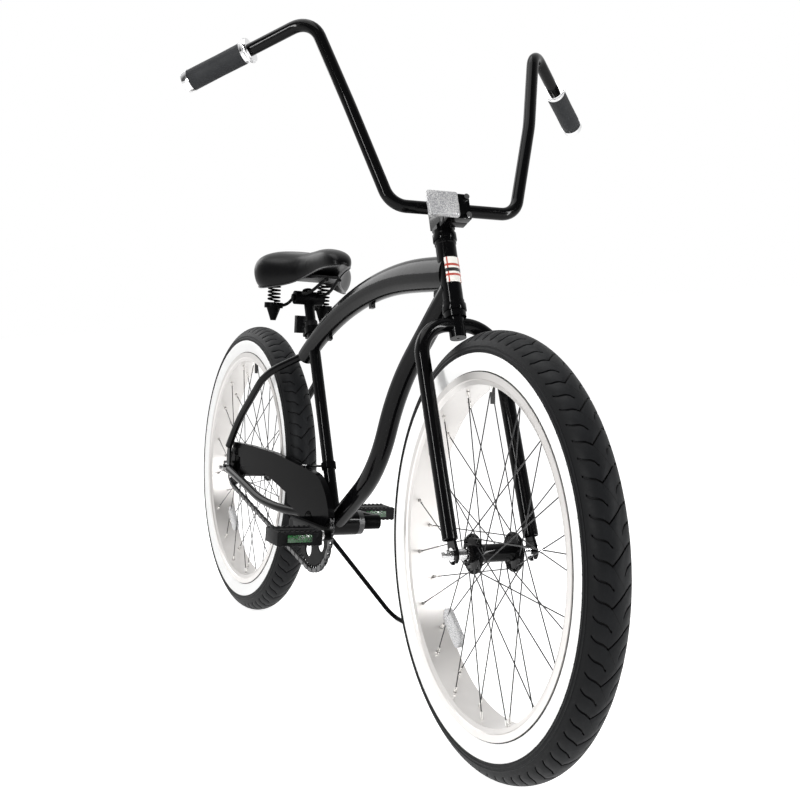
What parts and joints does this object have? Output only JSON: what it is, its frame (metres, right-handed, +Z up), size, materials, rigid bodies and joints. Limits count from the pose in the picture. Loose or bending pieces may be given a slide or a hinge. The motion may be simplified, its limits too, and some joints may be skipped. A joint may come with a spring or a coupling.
{
  "type": "bicycle",
  "caption": "Black beach cruiser bicycle with arched top tube, wide high handlebar, balloon white-wall tyres, sprung saddle, chain guard and kickstand, leaning on its stand",
  "frame": {"origin": "On the ground, under the middle of the box round the standing bicycle.", "axes": "+X is the way the bicycle points, +Y is to the rider's left, +Z is up."},
  "size_m": [1.8684, 0.829, 1.2482],
  "materials": {
    "black_paint": "gloss black paint",
    "bright_steel": "bright plated steel",
    "dark_steel": "oiled dark steel",
    "rim_metal": "pale satin metal",
    "tyre_rubber": "matte black tread with a white wall",
    "tube_rubber": "matte",
    "grip_rubber": "matte",
    "badge_metal": "printed plate",
    "clear_plastic": "clear prism lens",
    "grey_plastic": "moulded light grey",
    "black_plastic": "moulded black",
    "saddle_vinyl": "satin black vinyl"
  },
  "bodies": {
    "frame": {"head_tube": "black_paint", "top_tube": "black_paint", "down_tube": "black_paint", "seat_tube": "black_paint", "bottom_bracket_shell": "black_paint", "chain_stays": "black_paint", "seat_stays": "black_paint", "rear_dropouts": "black_paint", "headset_cups": "black_paint", "head_badge": "badge_metal", "chain_guard": "black_paint", "guard_screws": "bright_steel", "kickstand_bracket": "black_paint", "seat_clamp": "black_paint", "bottom_bracket_bearings": "bright_steel", "rear_axle": "bright_steel", "rear_hub_internals": "bright_steel", "brake_arm": "black_paint", "chain": "dark_steel"},
    "steering": {"fork_steerer": "black_paint", "fork_legs": "black_paint", "headset_hardware": "bright_steel", "stem": "black_paint", "stem_faceplate": "black_paint", "stem_fasteners": "bright_steel", "handlebar": "black_paint", "grips": "grip_rubber", "grip_trim": "bright_steel", "front_reflector": "clear_plastic", "front_reflector_bracket": "grey_plastic", "front_axle": "bright_steel", "front_hub_bearings": "bright_steel"},
    "front_wheel": {"front_tyre": "tyre_rubber", "front_inner_tube": "tube_rubber", "front_rim": "rim_metal", "front_spokes": "black_paint", "front_hub_shell": "black_paint", "front_spoke_reflector": "clear_plastic"},
    "rear_wheel": {"rear_tyre": "tyre_rubber", "rear_inner_tube": "tube_rubber", "rear_rim": "rim_metal", "rear_spokes": "black_paint", "rear_hub_shell": "black_paint", "rear_spoke_reflector": "clear_plastic"},
    "driver": {"rear_sprocket": "black_paint"},
    "crank": {"crank_spindle": "bright_steel", "crank_arms": "black_paint", "chainring": "black_paint", "pedal_spindles": "bright_steel"},
    "left_pedal": {"left_pedal": "black_plastic"},
    "right_pedal": {"right_pedal": "black_plastic"},
    "kickstand": {"kickstand_leg": "black_paint"},
    "seat": {"seat_post": "black_paint", "saddle_clamp": "black_paint", "saddle_rails": "black_paint", "spring_seats": "black_paint", "rear_reflector": "black_plastic", "saddle_springs": "black_paint"},
    "saddle": {"saddle_base": "black_plastic", "saddle_cover": "saddle_vinyl"}
  },
  "joints": [
    {"name": "steering", "type": "hinge", "parent": "frame", "child": "steering", "pos_m": [0.40636, -0.05577, 0.74003], "axis": [-0.367, 0.1134, 0.9233], "range_deg": [-61.4, 68.6]},
    {"name": "front_wheel_spin", "type": "hinge", "parent": "steering", "child": "front_wheel", "pos_m": [0.58275, -0.10487, 0.35044], "axis": [0.0578, 0.9934, -0.099], "continuous": true},
    {"name": "rear_wheel_spin", "type": "hinge", "parent": "frame", "child": "rear_wheel", "pos_m": [-0.58222, -0.10364, 0.34964], "axis": [0.0001, 0.9925, -0.1219], "continuous": true},
    {"name": "crank_spin", "type": "hinge", "parent": "frame", "child": "crank", "pos_m": [-0.05386, -0.11034, 0.29535], "axis": [0.0001, 0.9925, -0.1219], "continuous": true},
    {"name": "driver_spin", "type": "hinge", "parent": "frame", "child": "driver", "pos_m": [-0.58222, -0.15326, 0.35573], "axis": [0.0001, 0.9925, -0.1219], "continuous": true},
    {"name": "left_pedal_spin", "type": "hinge", "parent": "crank", "child": "left_pedal", "pos_m": [-0.22374, 0.04576, 0.27011], "axis": [0.0001, 0.9925, -0.1219], "continuous": true},
    {"name": "right_pedal_spin", "type": "hinge", "parent": "crank", "child": "right_pedal", "pos_m": [0.11603, -0.26644, 0.32059], "axis": [0.0001, 0.9925, -0.1219], "continuous": true},
    {"name": "kickstand_fold", "type": "hinge", "parent": "frame", "child": "kickstand", "pos_m": [-0.23184, -0.07478, 0.25662], "axis": [0.1776, 0.8112, 0.5572], "range_deg": [0, 68.3]},
    {"name": "seat_height", "type": "slide", "parent": "frame", "child": "seat", "axis": [-0.42, 0.1106, 0.9008], "range_m": [0, 0.05]},
    {"name": "saddle_bounce", "type": "hinge", "parent": "seat", "child": "saddle", "pos_m": [-0.14065, -0.04786, 0.80418], "axis": [-0.0001, -0.9925, 0.1219], "range_deg": [0, 4], "stiffness_Nm_per_rad": 1000, "deforming": ["saddle_springs"]}
  ],
  "couplings": [
    {"joint": "driver_spin", "follows": "crank_spin", "ratio": 2}
  ]
}
